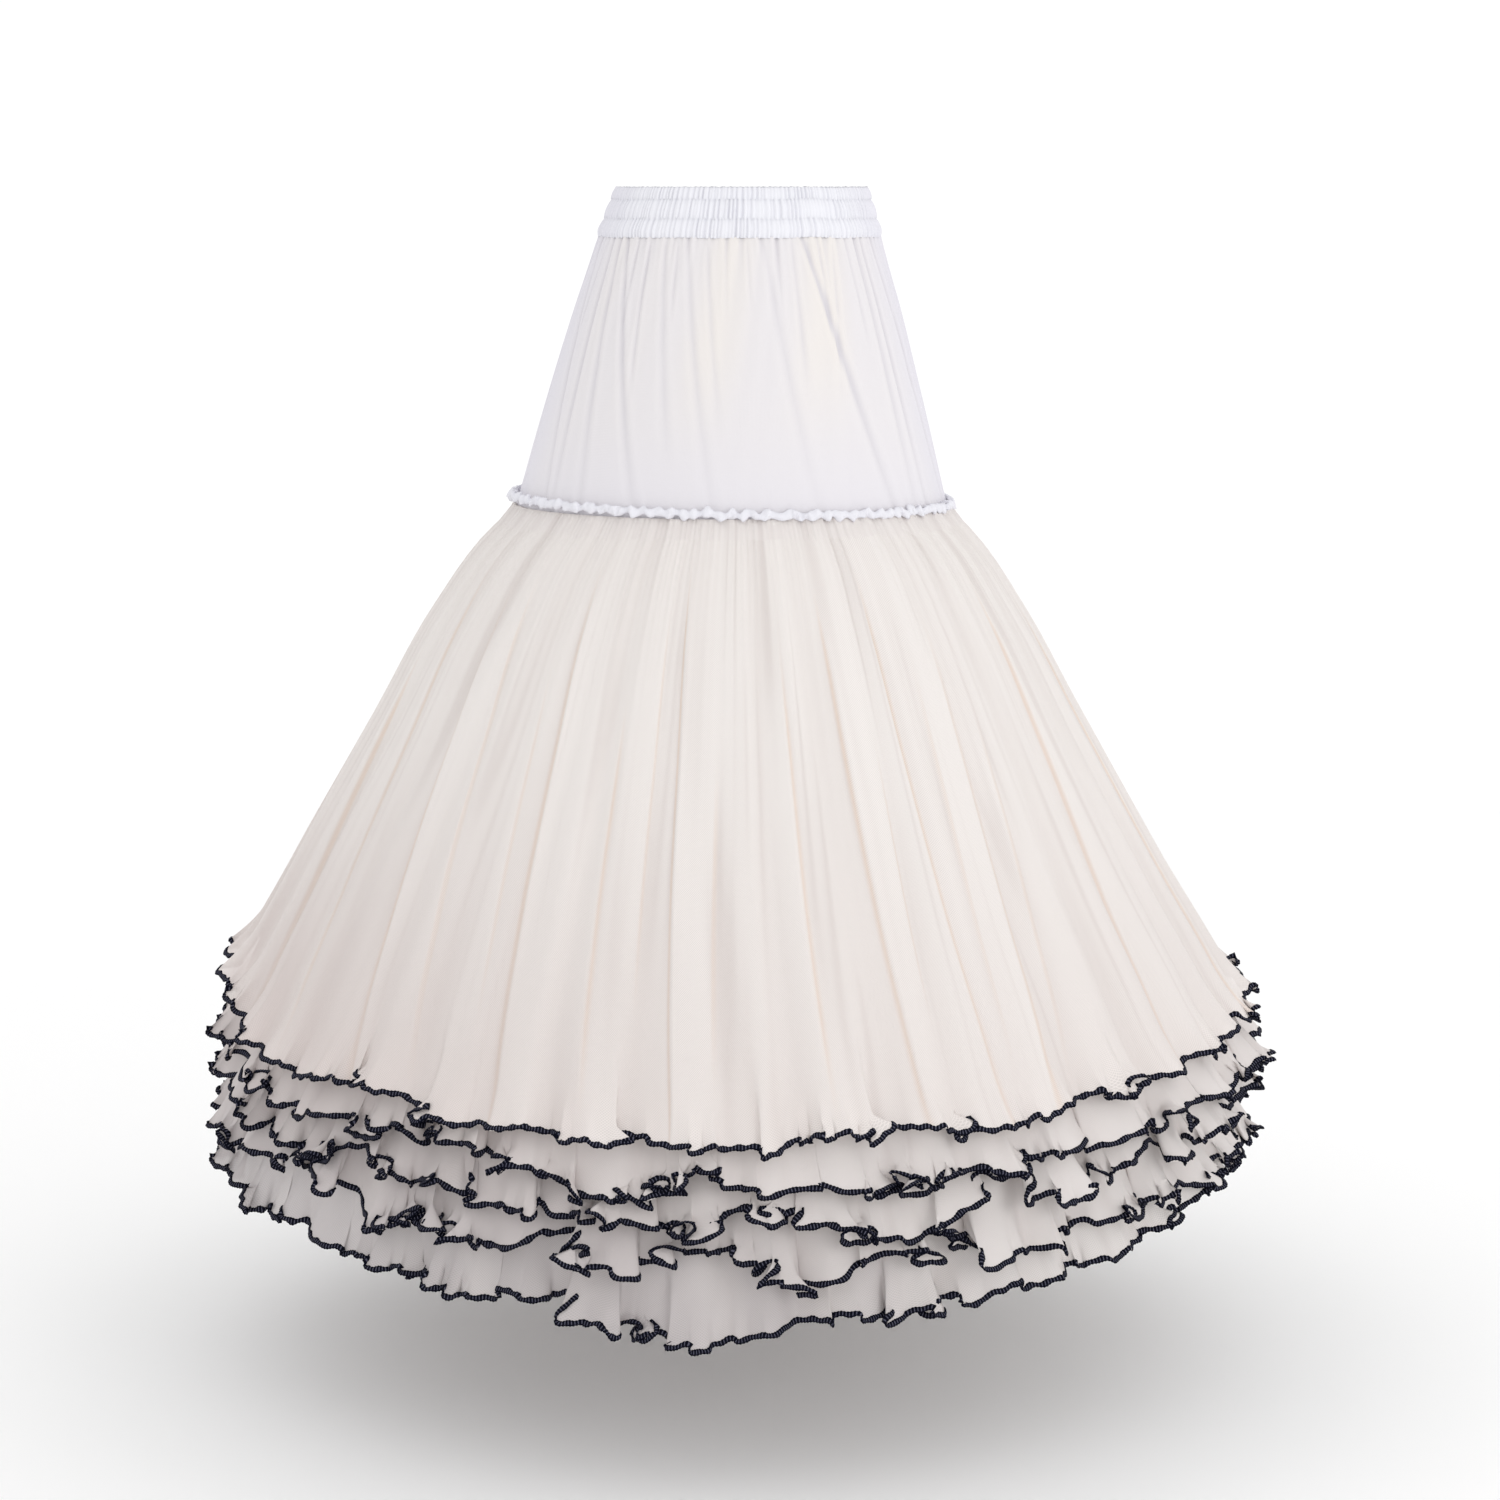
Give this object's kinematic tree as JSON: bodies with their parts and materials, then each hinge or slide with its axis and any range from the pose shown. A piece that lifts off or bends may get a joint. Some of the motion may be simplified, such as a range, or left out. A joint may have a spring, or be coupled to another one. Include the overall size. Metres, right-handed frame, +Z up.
{
  "type": "layered tulle petticoat skirt",
  "caption": "Full-length petticoat with an elasticated waist, a gathered white yoke and layers of gathered ivory tulle, each longer than the one above, with dark serged hems.",
  "frame": {"origin": "middle of the waist opening, level with the waistband's top edge, where the wearer's waist holds the skirt", "axes": "+Z up along the body, +X to the right in the picture, front of the skirt towards -Y"},
  "size_m": [1.0247, 0.966, 0.9854],
  "materials": {
    "waistband_cloth": "soft white cloth gathered over elastic",
    "yoke_cloth": "smooth soft white cloth",
    "tulle": "fine ivory tulle, slightly see-through",
    "hem_thread": "dark navy serging thread"
  },
  "bodies": {
    "root": {"waistband": "waistband_cloth", "yoke_front": "yoke_cloth", "yoke_back": "yoke_cloth", "seam_ruffle": "waistband_cloth", "tulle_layer_1": "tulle", "tulle_layer_2": "tulle", "tulle_layer_3": "tulle", "tulle_layer_4": "tulle", "tulle_layer_5": "tulle"}
  },
  "joints": []
}
